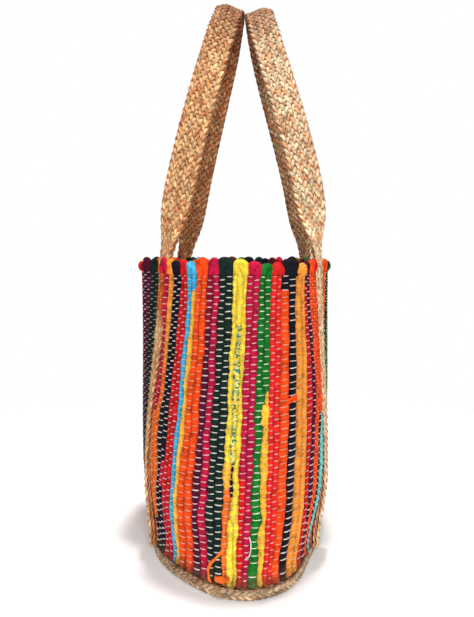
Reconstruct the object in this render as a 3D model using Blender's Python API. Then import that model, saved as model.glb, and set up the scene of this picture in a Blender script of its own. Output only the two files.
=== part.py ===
"""Beach bag: a woven rag body on an oval mat of braided jute, with two flat braided jute handles.

Metres, +Z up. X runs across the narrow side, Y along the length, and the origin is the middle of
the mat's underside. The -Y end is the near end.
"""

import math

import bmesh
import bpy
from mathutils import Vector

# The jute mat that forms the bottom
MAT_HALF_DEPTH = 0.105
MAT_HALF_LENGTH = 0.2255
MAT_THICKNESS = 0.012
MAT_EDGE_ROUNDING = 0.003
MAT_EDGE_RELIEF = 0.0012
MAT_BRAID_WIDTH = 0.030
MAT_GROOVE_DEPTH = 0.0016
MAT_GROOVE_WIDTH = 0.006
MAT_SIDES = 60
MAT_PLAITS_PER_SIDE = 2

# The woven body: its outside stands in a little from the mat's edge, and widens to the belly
BODY_TOP = 0.341
FOOT_INSET = 0.004
LEFT_HALF_DEPTH = 0.1165
RIGHT_HALF_DEPTH = 0.1135
BELLY_HALF_LENGTH = 0.215
RIM_HALF_LENGTH = 0.195
FLARE_HEIGHT = 0.080
NARROWING_START = 0.120
TUCK_DEPTH = 0.004
TUCK_HEIGHT = 0.014
WALL = 0.0035
COLUMN_PAIRS = 72
COLUMN_RELIEF = 0.0013
COLUMN_DRIFT = 0.012
LOOP_HEIGHT = 0.015
LOOP_DIP = 0.0035
LOOP_GROOVE = 0.0008
RIM_ROUNDING = 0.0025
NEAR_END_SHIFT = 0.014

# How far the handles pull the cloth in at the belly and at the rim, and how they slant it
LEFT_BELLY_PULL = 0.0075
LEFT_RIM_PULL = 0.0265
RIGHT_BELLY_PULL = 0.001
RIGHT_RIM_PULL = 0.008
PULL_START = 0.090
PULL_SPREAD = 0.024
LEFT_SLANT = 0.33
RIGHT_SLANT = 0.14
SLANT_SPREAD = 0.032
STRAP_FLATTENING = 0.60
FLATTENING_SPREAD = 0.030

# The two handles, each one braid from the mat up over the arch and down again
STRAP_WIDTH = 0.033
STRAP_THICKNESS = 0.006
STRAP_OFFSET = 0.102
STRAP_RELIEF = 0.0009
PLAIT_LENGTH = 0.014
LEFT_ARCH_RISE = 0.3105
RIGHT_ARCH_RISE = 0.306
LEFT_APEX = -0.0075
HANDLE_GAP = 0.0005
LEFT_RIM_LEAN = 0.24
LEFT_APEX_LEAN = 0.20
RIGHT_RIM_LEAN = 0.11
RIGHT_APEX_LEAN = 0.15
TWIST_HEIGHT = 0.090

# Pieces that touch keep this gap
SEAT_GAP = 0.0003

# How finely the smooth shapes are cut up
COLUMNS = 2 * COLUMN_PAIRS
FLARE_BANDS = 2
UPPER_BANDS = 3
ROUTE_SAMPLES = 120
ELLIPSE_SAMPLES = 720
TANGENT_STEP = 0.0005

RAG_COLOUR = (0.62, 0.10, 0.07, 1.0)
JUTE_COLOUR = (0.52, 0.33, 0.17, 1.0)
JUTE_EDGE_COLOUR = (0.44, 0.27, 0.13, 1.0)


def smooth_share(value):
    """Ease from 0 to 1 as the value runs from 0 to 1."""
    share = min(max(value, 0.0), 1.0)
    return share * share * (3.0 - 2.0 * share)


def blend(low, high, share):
    return low + (high - low) * share


def ellipse_angles(half_depth, half_length):
    """Return a function that gives the ellipse's angle at a share of the way round it."""
    lengths = [0.0]
    last = Vector((half_depth, 0.0))
    for index in range(1, ELLIPSE_SAMPLES + 1):
        angle = math.tau * index / ELLIPSE_SAMPLES
        point = Vector((half_depth * math.cos(angle), half_length * math.sin(angle)))
        lengths.append(lengths[-1] + (point - last).length)
        last = point

    def angle_at(share):
        turns = math.floor(share)
        wanted = (share - turns) * lengths[-1]
        low, high = 0, ELLIPSE_SAMPLES
        while high - low > 1:
            middle = (low + high) // 2
            if lengths[middle] <= wanted:
                low = middle
            else:
                high = middle
        part = (wanted - lengths[low]) / (lengths[high] - lengths[low])
        return math.tau * (turns + (low + part) / ELLIPSE_SAMPLES)

    return angle_at


rim_angle = ellipse_angles(0.5 * (LEFT_HALF_DEPTH + RIGHT_HALF_DEPTH), RIM_HALF_LENGTH)
mat_angle = ellipse_angles(MAT_HALF_DEPTH, MAT_HALF_LENGTH)


# The body's outside

def body_foot():
    return MAT_THICKNESS + SEAT_GAP


def body_half_sizes(height):
    """The body's reach to the left, right and along at a height. Its lower edge is tucked in."""
    flare = smooth_share((height - body_foot()) / FLARE_HEIGHT)
    narrowing = smooth_share((height - NARROWING_START) / (BODY_TOP - NARROWING_START))
    left = blend(MAT_HALF_DEPTH - FOOT_INSET, LEFT_HALF_DEPTH, flare)
    right = blend(MAT_HALF_DEPTH - FOOT_INSET, RIGHT_HALF_DEPTH, flare)
    upper_length = blend(BELLY_HALF_LENGTH, RIM_HALF_LENGTH, narrowing)
    length = blend(MAT_HALF_LENGTH - FOOT_INSET, upper_length, flare)
    up = min((height - body_foot()) / TUCK_HEIGHT, 1.0)
    tuck = TUCK_DEPTH * (1.0 - math.sqrt(max(1.0 - (1.0 - up) ** 2, 0.0)))
    return left - tuck, right - tuck, length - tuck


def near_end_shift(y, half_length):
    """Beyond its near straps, the near end sits a little towards +X."""
    start = STRAP_OFFSET + 0.5 * STRAP_WIDTH
    return NEAR_END_SHIFT * smooth_share((-y - start) / (half_length - start))


def face_pulls(side):
    """How far the handle pulls a face in at the belly and the rim, and how it slants it."""
    if side < 0:
        return LEFT_BELLY_PULL, LEFT_RIM_PULL, LEFT_SLANT
    return RIGHT_BELLY_PULL, RIGHT_RIM_PULL, RIGHT_SLANT


def outline_x(side, y, height):
    """How far out in X the body's outline lies at a place along its length."""
    left, right, half_length = body_half_sizes(height)
    reach = left if side < 0 else right
    belly_pull, rim_pull, slant = face_pulls(side)
    away = abs(y) - STRAP_OFFSET
    flattened = away * (1.0 - STRAP_FLATTENING * math.exp(-((away / FLATTENING_SPREAD) ** 2)))
    share = min(max(STRAP_OFFSET + flattened, 0.0) / half_length, 1.0)
    width = reach * math.sqrt(1.0 - share * share)
    rise = smooth_share((height - PULL_START) / (BODY_TOP - PULL_START))
    flare = smooth_share((height - body_foot()) / FLARE_HEIGHT)
    beside = max(abs(away) - 0.5 * STRAP_WIDTH, 0.0)
    width -= flare * blend(belly_pull, rim_pull, rise) * math.exp(-((beside / PULL_SPREAD) ** 2))
    width -= rise * slant * away * math.exp(-((away / SLANT_SPREAD) ** 2))
    return side * width + near_end_shift(y, half_length)


def body_plan(angle, height):
    """A point of the body's outline at a height, without the columns' relief."""
    y = body_half_sizes(height)[2] * math.sin(angle)
    return Vector((outline_x(math.copysign(1.0, math.cos(angle)), y, height), y, height))


def body_outside(angle, height, outwards):
    """A point that lies a distance outside the body's outline, level with it."""
    here = body_plan(angle, height)
    along = (body_plan(angle + TANGENT_STEP, height) - here).normalized()
    return here + outwards * Vector((along.y, -along.x, 0.0))


def body_heights():
    """The heights of the body's rings, up to where the columns end in loops."""
    tuck_top = body_foot() + TUCK_HEIGHT
    flare_top = body_foot() + FLARE_HEIGHT
    loop_foot = BODY_TOP - LOOP_HEIGHT
    heights = [body_foot(), tuck_top]
    for step in range(1, FLARE_BANDS + 1):
        heights.append(blend(tuck_top, flare_top, step / FLARE_BANDS))
    for step in range(1, UPPER_BANDS + 1):
        heights.append(blend(flare_top, loop_foot, step / UPPER_BANDS))
    return heights


def column_share(column, height):
    """How far round a column stands: the columns drift as they go down."""
    return (column + COLUMN_DRIFT * COLUMNS * (height / BODY_TOP - 1.0)) / COLUMNS


# Meshes

def bridge(mesh, lower, upper):
    """Join two closed rings. One ring may have a whole number of times the other's points."""
    dense, sparse = (lower, upper) if len(lower) >= len(upper) else (upper, lower)
    ratio = len(dense) // len(sparse)
    for index, point in enumerate(sparse):
        following = sparse[(index + 1) % len(sparse)]
        edge = [dense[(index * ratio + step) % len(dense)] for step in range(ratio + 1)]
        mesh.faces.new(edge + [following, point])


def finish_object(name, mesh, colour, roughness):
    """Turn the faces outwards and make a smooth-shaded object with its own material."""
    bmesh.ops.recalc_face_normals(mesh, faces=mesh.faces)
    data = bpy.data.meshes.new(name)
    mesh.to_mesh(data)
    mesh.free()
    data.shade_smooth()
    data.set_sharp_from_angle(angle=math.radians(50.0))
    material = bpy.data.materials.new(name)
    material.use_nodes = True
    shader = material.node_tree.nodes["Principled BSDF"]
    shader.inputs["Base Color"].default_value = colour
    shader.inputs["Roughness"].default_value = roughness
    data.materials.append(material)
    thing = bpy.data.objects.new(name, data)
    bpy.context.collection.objects.link(thing)
    return thing


def add_ring(mesh, points):
    return [mesh.verts.new(point) for point in points]


# The woven body

def body_ring(height, relief_at):
    """One ring of the outside, four points to a pair of columns.

    relief_at gives a point's place outwards and downwards from its place in the pair.
    """
    points = []
    for index in range(2 * COLUMNS):
        outwards, down = relief_at(index % 4)
        angle = rim_angle(column_share(0.5 * index, height))
        points.append(body_outside(angle, height, outwards) - Vector((0.0, 0.0, down)))
    return points


def column_relief(place):
    """Each column is a ridge, with a groove on both sides of it."""
    return (COLUMN_RELIEF if place % 2 else 0.0), 0.0


def loop_relief(place):
    """At the rim the two columns of a pair are one rag, turned over in a round loop."""
    if place == 0:
        return -LOOP_GROOVE, LOOP_DIP
    return COLUMN_RELIEF, 0.0


def crest_relief(place):
    """The middle of the rim's rounded top."""
    outwards, down = loop_relief(place)
    return outwards - 0.5 * WALL, down


def make_woven_body():
    """An open tube of cloth, ridged with its rag columns, that ends in loops at the rim."""
    mesh = bmesh.new()
    shoulder = BODY_TOP - RIM_ROUNDING
    heights = body_heights()
    outside = [add_ring(mesh, body_ring(height, column_relief)) for height in heights]
    outside.append(add_ring(mesh, body_ring(shoulder, loop_relief)))
    outside.append(add_ring(mesh, body_ring(BODY_TOP, crest_relief)))
    inside = []
    for height in [shoulder - LOOP_DIP] + heights[-2:0:-1] + [body_foot()]:
        angles = [rim_angle(column_share(column, height)) for column in range(COLUMNS)]
        inside.append(add_ring(mesh, [body_outside(angle, height, -WALL) for angle in angles]))
    rings = outside + inside
    for lower, upper in zip(rings, rings[1:] + rings[:1]):
        bridge(mesh, lower, upper)
    return finish_object("woven_body", mesh, RAG_COLOUR, 0.92)


# The jute mat

def mat_ring(inset, height, sides, relief=0.0):
    """A ring of the mat. With relief, every second point stands out."""
    points = []
    for index in range(sides):
        angle = mat_angle(index / sides)
        out = relief if index % 2 else 0.0
        y = (MAT_HALF_LENGTH - inset + out) * math.sin(angle)
        x = (MAT_HALF_DEPTH - inset + out) * math.cos(angle) + near_end_shift(y, MAT_HALF_LENGTH)
        points.append(Vector((x, y, height)))
    return points


def make_jute_base():
    """The mat: a flat underside, a plaited edge and a groove between the turns of its braid."""
    mesh = bmesh.new()
    edge_sides = 2 * MAT_PLAITS_PER_SIDE * MAT_SIDES
    inner_edge = MAT_EDGE_ROUNDING + MAT_EDGE_RELIEF
    low_edge, high_edge = MAT_EDGE_ROUNDING, MAT_THICKNESS - MAT_EDGE_ROUNDING
    rings = [
        add_ring(mesh, mat_ring(inner_edge, 0.0, MAT_SIDES)),
        add_ring(mesh, mat_ring(MAT_EDGE_RELIEF, low_edge, edge_sides, MAT_EDGE_RELIEF)),
        add_ring(mesh, mat_ring(MAT_EDGE_RELIEF, high_edge, edge_sides, MAT_EDGE_RELIEF)),
        add_ring(mesh, mat_ring(inner_edge, MAT_THICKNESS, MAT_SIDES)),
    ]
    turns = int((MAT_HALF_DEPTH - 0.5 * MAT_BRAID_WIDTH) / MAT_BRAID_WIDTH)
    for turn in range(1, turns + 1):
        for step, drop in ((-0.5, 0.0), (0.0, MAT_GROOVE_DEPTH), (0.5, 0.0)):
            inset = turn * MAT_BRAID_WIDTH + step * MAT_GROOVE_WIDTH
            rings.append(add_ring(mesh, mat_ring(inset, MAT_THICKNESS - drop, MAT_SIDES)))
    for lower, upper in zip(rings, rings[1:]):
        bridge(mesh, lower, upper)
    mesh.faces.new(rings[0])
    mesh.faces.new(rings[-1])
    return finish_object("jute_base", mesh, JUTE_EDGE_COLOUR, 0.85)


# The handles

def strap_lift():
    """How far the strap's middle lies outside the body's outline."""
    return COLUMN_RELIEF + SEAT_GAP + STRAP_RELIEF + 0.5 * STRAP_THICKNESS


def face_point(side, y, height):
    """A point of the long face, as it runs between the body's rings and straight below the tuck."""
    levels = body_heights()[1:] + [BODY_TOP]
    level = max(height, levels[0])
    segment = 0
    while segment < len(levels) - 2 and level > levels[segment + 1]:
        segment += 1
    low, high = levels[segment], levels[segment + 1]
    x = blend(outline_x(side, y, low), outline_x(side, y, high), (level - low) / (high - low))
    return Vector((x, y, height))


def face_along(side, y, height):
    """The direction along the long face, level and towards the near end."""
    return (face_point(side, y - TANGENT_STEP, height) - face_point(side, y, height)).normalized()


def on_face(side, y, height):
    """A point of the strap's middle surface where it lies on the body."""
    here = face_point(side, y, height)
    along = face_along(side, y, height)
    slope = (face_point(side, y, height - TANGENT_STEP).x - here.x) / TANGENT_STEP
    lift = side * strap_lift() * math.hypot(1.0, slope)
    return here + lift * Vector((-along.y, along.x, 0.0))


def arch_point(side, turn):
    """A point of the handle's arch above the rim, from the rim at 0 to the top at a quarter turn."""
    rim = on_face(side, -STRAP_OFFSET, BODY_TOP)
    rise, apex, rim_lean, apex_lean = arch_values(side)
    share = math.sin(turn)
    squared, cubed = share * share, share * share * share
    x = (2.0 * cubed - 3.0 * squared + 1.0) * rim.x + (3.0 * squared - 2.0 * cubed) * apex
    x -= side * (cubed - 2.0 * squared + share) * rim_lean * rise
    x -= side * (cubed - squared) * apex_lean * rise
    return Vector((x, rim.y * math.cos(turn), BODY_TOP + rise * share))


def arch_values(side):
    """The arch's rise, the place of its highest point and its leans at the rim and there."""
    if side < 0:
        return LEFT_ARCH_RISE, LEFT_APEX, LEFT_RIM_LEAN, LEFT_APEX_LEAN
    right_apex = LEFT_APEX + STRAP_WIDTH + 2.0 * STRAP_RELIEF + HANDLE_GAP
    return RIGHT_ARCH_RISE, right_apex, RIGHT_RIM_LEAN, RIGHT_APEX_LEAN


def strap_foot():
    """The strap's end stands on the mat."""
    return MAT_THICKNESS + SEAT_GAP


def fine_route(side):
    """The strap's middle line from its near foot to the top of the arch, finely sampled."""
    route = []
    for index in range(ROUTE_SAMPLES):
        height = blend(strap_foot(), BODY_TOP, index / ROUTE_SAMPLES)
        route.append(on_face(side, -STRAP_OFFSET, height))
    for index in range(ROUTE_SAMPLES + 1):
        route.append(arch_point(side, 0.5 * math.pi * index / ROUTE_SAMPLES))
    return route


def even_route(side):
    """The same line cut into equal steps of about half a plait."""
    route = fine_route(side)
    lengths = [0.0]
    for here, ahead in zip(route, route[1:]):
        lengths.append(lengths[-1] + (ahead - here).length)
    steps = 2 * round(lengths[-1] / PLAIT_LENGTH)
    points = []
    segment = 0
    for index in range(steps + 1):
        wanted = lengths[-1] * index / steps
        while segment < len(route) - 2 and lengths[segment + 1] < wanted:
            segment += 1
        part = (wanted - lengths[segment]) / (lengths[segment + 1] - lengths[segment])
        points.append(route[segment].lerp(route[segment + 1], part))
    return points


def strap_axes(side, here, forwards):
    """The strap's across and outward directions: flat on the face, and turned a quarter above."""
    inwards = Vector((-side, 0.0, -arch_values(side)[3]))
    inwards = (inwards - forwards * inwards.dot(forwards)).normalized()
    to_nose = inwards.cross(forwards) * -side
    along = face_along(side, -STRAP_OFFSET, min(here.z, BODY_TOP))
    twist = smooth_share((here.z - BODY_TOP) / TWIST_HEIGHT)
    turn = blend(math.atan2(along.dot(inwards), along.dot(to_nose)), 0.5 * math.pi, twist)
    if twist == 1.0:
        turn = 0.5 * math.pi
    across = to_nose * math.cos(turn) + inwards * math.sin(turn)
    outward = across.cross(forwards) * -side
    return across, outward


def face_bend(side, here, across, outward, place):
    """How far the body's curve lifts a point of the strap off its own flat plane."""
    if here.z > BODY_TOP + TWIST_HEIGHT:
        return 0.0
    height = min(here.z, BODY_TOP)
    middle = on_face(side, -STRAP_OFFSET, height)
    aside = on_face(side, -STRAP_OFFSET + place * across.y, height)
    fade = 1.0 - smooth_share((here.z - BODY_TOP) / TWIST_HEIGHT)
    return (aside - middle).dot(outward) * fade


def strap_section(side, here, forwards, raised):
    """One ring of the strap. Its plaits stand out in the middle and at the sides by turns."""
    across, outward = strap_axes(side, here, forwards)
    half_width, half_thickness = 0.5 * STRAP_WIDTH, 0.5 * STRAP_THICKNESS
    middle_out = STRAP_RELIEF if raised else 0.0
    side_out = 0.0 if raised else STRAP_RELIEF
    outline = [
        (-half_width - side_out, 0.0),
        (-0.5 * half_width, half_thickness + side_out),
        (0.0, half_thickness + middle_out),
        (0.5 * half_width, half_thickness + side_out),
        (half_width + side_out, 0.0),
        (0.5 * half_width, -half_thickness - side_out),
        (0.0, -half_thickness - middle_out),
        (-0.5 * half_width, -half_thickness - side_out),
    ]
    points = []
    for place, out in outline:
        lift = out + face_bend(side, here, across, outward, place)
        points.append(here + across * place + outward * lift)
    return points


def make_strap(name, side):
    """One handle. The far half mirrors the near half."""
    route = even_route(side)
    sections = []
    for index, here in enumerate(route):
        before = route[max(index - 1, 0)]
        after = route[min(index + 1, len(route) - 1)]
        forwards = (after - before).normalized()
        if index == len(route) - 1:
            forwards = Vector((0.0, 1.0, 0.0))
        sections.append(strap_section(side, here, forwards, index % 2 == 0))
    level = strap_foot()
    sections[0] = [Vector((point.x, point.y, level)) for point in sections[0]]
    mirrored = [[Vector((p.x, -p.y, p.z)) for p in section] for section in reversed(sections[:-1])]
    mesh = bmesh.new()
    rings = [add_ring(mesh, section) for section in sections + mirrored]
    for lower, upper in zip(rings, rings[1:]):
        bridge(mesh, lower, upper)
    mesh.faces.new(rings[0])
    mesh.faces.new(rings[-1])
    return finish_object(name, mesh, JUTE_COLOUR, 0.85)


def main():
    for thing in list(bpy.data.objects):
        bpy.data.objects.remove(thing, do_unlink=True)
    make_jute_base()
    make_woven_body()
    make_strap("left_handle_strap", -1)
    make_strap("right_handle_strap", 1)


main()
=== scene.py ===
"""Looks of the beach bag: woven rags and cotton warp, jute plait handles and an oval jute mat.

Metres, +Z up. X runs across the narrow side and Y along the length; the camera sees the -Y end.
"""

import math

import bpy
import numpy as np
from mathutils import Matrix, Vector


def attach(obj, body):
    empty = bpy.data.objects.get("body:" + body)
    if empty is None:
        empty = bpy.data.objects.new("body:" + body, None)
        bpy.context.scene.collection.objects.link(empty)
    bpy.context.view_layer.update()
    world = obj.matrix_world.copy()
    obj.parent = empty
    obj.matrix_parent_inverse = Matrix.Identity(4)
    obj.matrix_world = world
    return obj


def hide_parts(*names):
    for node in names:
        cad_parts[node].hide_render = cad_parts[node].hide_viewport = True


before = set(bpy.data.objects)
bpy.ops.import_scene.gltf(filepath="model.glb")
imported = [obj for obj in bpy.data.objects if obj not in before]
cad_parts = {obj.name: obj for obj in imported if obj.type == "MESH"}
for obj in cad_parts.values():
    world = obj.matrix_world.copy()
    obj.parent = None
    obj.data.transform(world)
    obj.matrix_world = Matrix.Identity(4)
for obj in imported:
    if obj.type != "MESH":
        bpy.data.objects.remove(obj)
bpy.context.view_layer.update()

# The jute mat and the woven body, with the same sizes as the solids
MAT_HALF_DEPTH = 0.105
MAT_HALF_LENGTH = 0.2255
MAT_THICKNESS = 0.012
BODY_TOP = 0.341
FOOT_INSET = 0.004
LEFT_HALF_DEPTH = 0.1165
RIGHT_HALF_DEPTH = 0.1135
BELLY_HALF_LENGTH = 0.215
RIM_HALF_LENGTH = 0.195
FLARE_HEIGHT = 0.080
NARROWING_START = 0.120
TUCK_DEPTH = 0.004
TUCK_HEIGHT = 0.014
WALL = 0.0035
COLUMN_RELIEF = 0.0013
COLUMN_DRIFT = 0.012
NEAR_END_SHIFT = 0.014
LEFT_BELLY_PULL = 0.0075
LEFT_RIM_PULL = 0.0265
RIGHT_BELLY_PULL = 0.001
RIGHT_RIM_PULL = 0.008
PULL_START = 0.090
PULL_SPREAD = 0.024
LEFT_SLANT = 0.33
RIGHT_SLANT = 0.14
SLANT_SPREAD = 0.032
STRAP_FLATTENING = 0.60
FLATTENING_SPREAD = 0.030

# The handles, with the same sizes as the solids
STRAP_WIDTH = 0.033
STRAP_THICKNESS = 0.006
STRAP_OFFSET = 0.102
STRAP_RELIEF = 0.0009
LEFT_ARCH_RISE = 0.3105
RIGHT_ARCH_RISE = 0.306
LEFT_APEX = -0.0075
HANDLE_GAP = 0.0005
LEFT_RIM_LEAN = 0.24
LEFT_APEX_LEAN = 0.20
RIGHT_RIM_LEAN = 0.11
RIGHT_APEX_LEAN = 0.15
TWIST_HEIGHT = 0.090
TWIST_HASTE = 0.65
SEAT_GAP = 0.0003

# A millimetre, for the lists in millimetres
MM = 0.001

# The weave: rag columns, crossed by cotton floats that stand half a cell apart in the next column
WEAVE_CELL = 0.007
COLUMN_WIDTH = 0.0069
ROWS_PER_CELL = 4
POINTS_PER_COLUMN = 3
INSIDE_CELL = 0.008
GROOVE_DEPTH = 0.0011
CREST_RELIEF = 0.0011
PINCH = 0.85
PINCH_REACH = 0.17
CLOTH_TOP = 0.334
LOOP_FOOT = 0.3265
LOOP_THICKNESS = 0.0064
LOOP_SIDES = 10
LOOSE_SIDES = 8
FAR_RIM_DROP = 0.0012
FLOAT_SIDES = 3
FLOAT_HEIGHT = 0.0016
FLOAT_THICKNESS = 0.0010
LOWEST_FLOAT = 0.020
FIRST_FLOAT = 0.024
LAST_FLOAT = 0.3300
# The share of floats that are missing, and how much the rest differ in height, tilt, lift and size
FLOAT_GAPS = 0.012
FLOAT_STRAY = 0.00022
FLOAT_TILT = (0.0003, 0.0004)
FLOAT_LIFT = 0.00012
FLOAT_SIZES = (0.75, 1.15)
# A float's points: shares of its column's width, and how far out each lies
OUTER_FLOAT = ((0.08, 0.30, 0.70, 0.92), (-0.0006, 0.0004, 0.0004, -0.0006))
INNER_FLOAT = ((0.0, 0.5, 1.0), (0.0, -0.0016, 0.0))
INSIDE_RIDGE = 0.0008
LIP_DROP = 0.001
# The inside's places on the material start this far past the rim
INSIDE_PLACE = 0.1
# Painted shade: how dark the cloth's colour is made in the grooves between columns and at the pinches
# under the floats, and on the inside
GROOVE_SHADE = 0.60
INSIDE_SHADE = 0.7
# A loop's sizes as shares of its width: from its middle to the middle of each leg, half a leg's
# width, and how far below the loop's set height its round starts
LOOP_REACH = 0.20
LOOP_LEG = 0.28
LOOP_ROUND = 0.465
# How far loops lean to either side over a height
LOOP_LEAN = 0.0022
LEAN_HEIGHT = 0.015
# The least and the most that a loop's width is of its columns', and that it stands above the rim
LOOP_WIDTHS = (1.14, 1.30)
LOOP_RISES = (-0.0030, 0.0015)

# The plaits of jute
STATIONS_PER_KNOT = 3
STRAP_STRANDS = 17
STRAP_KNOT = 0.0044
STRAP_STRAND_WIDTH = 0.0043
STRAP_STRAND_THICKNESS = 0.0027
STRAP_STRAND_SIDES = 5
STRAP_CORE_SHARE = 0.86
STRAP_CORE_THICKNESS = 0.0012
STRAP_CORE_INSET = 0.002
STRAP_CORE_SAMPLES = 220
STRAP_PLAIT_SPREAD = 3.6
STRAP_SLACK = 0.25
EDGE_TURN = 0.45
# The light and dark shade of the left strap's strands, and of the right one's, which are lighter as
# painted light because light falls more on the right strap
STRAP_SHADES = (((255, 212, 154), (204, 124, 68)), ((255, 240, 198), (230, 154, 99)))
# Painted shade: the dark brown of the core that shows in the gaps between the strands
CORE_SHADE_BROWN = (92, 52, 24)
STITCH_JUTE = (196, 152, 104)
FIBRE_JUTE = (232, 200, 150)
TUFT_JUTE = (214, 178, 128)
# Painted shade on a strand where it runs under others, a darker tone towards the handles' tops, and
# painted shade on the handles' inside faces
UNDER_PAINTED_SHADE = (196, 158, 126)
TOP_TINT = (178, 145, 120)
INNER_PAINTED_SHADE = (232, 212, 200)
INNER_SHADE_SHARPNESS = 500.0
TOP_TINT_START = 0.560
TOP_TINT_END = 0.650
# The handles' tops close up on each other, and droop at their inner and outer edges
TOP_CLOSING = 0.0012
CLOSING_START = 0.6
TOP_DROOP = 0.0055
TOP_DROOP_START = 0.600
TOP_ROUNDING = 0.0055
ROUNDING_START = 0.12
HANDLE_BOW = (0.0035, 0.0030)
THREAD_SIDES = 4
STITCH_STEP = 0.0085
STITCH_LENGTH = 0.0042
STITCH_WIDTH = 0.0011
STITCH_INSET = 0.0045
STITCH_TO_FOOT = 0.008
STITCH_TO_RIM = 0.012
STITCH_LIFT = 0.0002
STITCH_RISE = 0.0007
STITCH_DIP = 0.0016
STRAY_FIBRES = 260
FIBRE_WIDTH = 0.00022
MAT_STRANDS = 5
MAT_PLAIT_WIDTH = 0.030
MAT_KNOT = 0.0060
MAT_STRAND_WIDTH = 0.0074
MAT_STRAND_THICKNESS = 0.0052
MAT_STRAND_SIDES = 6
EDGE_STRANDS = 5
EDGE_THICKNESS = 0.0052
EDGE_KNOT = 0.0036
EDGE_STRAND_WIDTH = 0.0036
EDGE_STRAND_THICKNESS = 0.0030
EDGE_SHADES = ((222, 190, 152), (150, 112, 82))
MAT_SHADES = ((196, 154, 108), (132, 92, 56))
MAT_SLACK = 0.4
MAT_CLEARANCE = 0.0006
TURN_OVERLAP = 0.001
TUFT_FIBRES = 34
TUFT_WIDTH = 0.00045
TUFT_PLACE = 0.027

ELLIPSE_SAMPLES = 720
FACE_SAMPLES = 200
ARCH_SAMPLES = 240
STRAP_SAMPLES = 260
BEND_SAMPLES = 11
BEND_REACH = 0.62
# Short steps along and off a surface, which give its directions
TANGENT_STEP = 0.0005
PROBE = 0.001

# Cotton rag colours, as they look in plain light. The twisted one only tints its floats.
RAGS = {
    "purple": (82, 10, 46),
    "wine": (138, 10, 42),
    "cotton": (246, 238, 226),
    "dark_green": (13, 36, 30),
    "orange": (240, 108, 34),
    "crimson": (200, 22, 54),
    "light_orange": (254, 154, 54),
    "navy": (12, 12, 25),
    "red": (208, 20, 26),
    "blue": (62, 170, 214),
    "amber": (253, 182, 56),
    "orange_red": (248, 74, 16),
    "magenta": (184, 14, 60),
    "yellow": (252, 216, 62),
    "green": (12, 110, 32),
    "bright_red": (230, 34, 32),
    "turquoise": (104, 200, 196),
    "olive": (108, 116, 40),
    "maroon": (92, 20, 22),
    "sage": (170, 196, 120),
    "pale_yellow": (236, 224, 128),
    "teal": (66, 122, 104),
    "twisted": (196, 196, 96),
}
# The cotton floats are darker on the first columns at the left
DARKER_FLOAT_COLUMNS = 3
FLOAT_DARKENING = 0.50
# Painted shade at the foot, where the cloth tucks under, with a dusty brown tint: the colour blended
# in, the height it fades over, and its strength
DUST_AND_SHADE = (96, 70, 52)
DUST_AND_SHADE_HEIGHT = 0.019
DUST_AND_SHADE_STRENGTH = 0.6

# A rag of several colours twisted together
TWISTED_COLOURS = ("yellow", "sage", "teal", "yellow", "pale_yellow", "teal", "yellow", "olive", "sage")
# The columns of the near end, from the left: the loop's colour at the rim, then each column's
# width in millimetres and its colour at the top. Where a rag changes, a height follows and the
# colour below it.
NEAR_START = 0.556
NEAR_RAGS = [
    ("purple", [(7.8, "purple")]),
    ("dark_green", [(5.5, "dark_green"), (5.5, "dark_green")]),
    ("orange", [(6.6, "orange")]),
    ("crimson", [(7.0, "crimson"), (6.6, "light_orange")]),
    ("orange", [(6.6, "orange"), (6.6, "orange")]),
    ("navy", [(6.6, "navy"), (6.6, "crimson")]),
    ("orange", [(7.6, "orange"), (7.6, "orange")]),
    ("crimson", [(7.8, "orange", 0.250, "crimson", 0.172, "orange"),
                 (10.0, "crimson", 0.175, "orange")]),
    ("light_orange", [(9.5, "light_orange", 0.230, "orange", 0.054, "navy")]),
    ("navy", [(6.2, "navy"), (6.2, "navy", 0.124, "crimson", 0.094, "navy")]),
    ("red", [(4.6, "red", 0.094, "crimson"), (4.6, "red")]),
    ("blue", [(5.6, "blue"), (5.2, "blue", 0.309, "amber")]),
    ("orange_red", [(6.4, "orange_red"), (6.5, "orange_red")]),
    ("magenta", [(6.3, "wine", 0.272, "purple"), (6.9, "magenta")]),
    ("dark_green", [(7.4, "dark_green"), (7.4, "dark_green")]),
    ("yellow", [(4.8, "yellow", 0.139, "amber", 0.112, "orange"),
                (5.4, "yellow", 0.276, "twisted", 0.138, "navy", 0.103, "twisted", 0.079, "yellow"),
                (3.8, "yellow")]),
    ("magenta", [(6.6, "magenta", 0.123, "red"), (6.7, "magenta")]),
    ("green", [(6.5, "green"), (6.6, "green", 0.208, "amber")]),
    ("bright_red", [(7.0, "bright_red"), (6.9, "bright_red")]),
    ("navy", [(12.0, "navy", 0.311, "orange_red"), (12.0, "navy")]),
    ("light_orange", [(13.0, "light_orange"), (13.0, "light_orange")]),
    ("purple", [(4.5, "purple", 0.312, "red"), (4.5, "purple")]),
    ("orange_red", [(4.0, "orange_red"), (4.0, "orange_red")]),
    ("red", [(5.5, "orange_red", 0.172, "dark_green"), (9.0, "orange_red", 0.172, "turquoise")]),
    ("crimson", [(7.0, "purple"), (7.0, "crimson")]),
    ("red", [(7.0, "red"), (7.0, "orange")]),
    ("orange_red", [(7.0, "orange_red"), (7.0, "orange_red")]),
    ("crimson", [(7.0, "orange_red", 0.200, "crimson"), (7.0, "orange_red", 0.120, "maroon")]),
    ("orange_red", [(7.0, "crimson"), (7.0, "orange")]),
]
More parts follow.
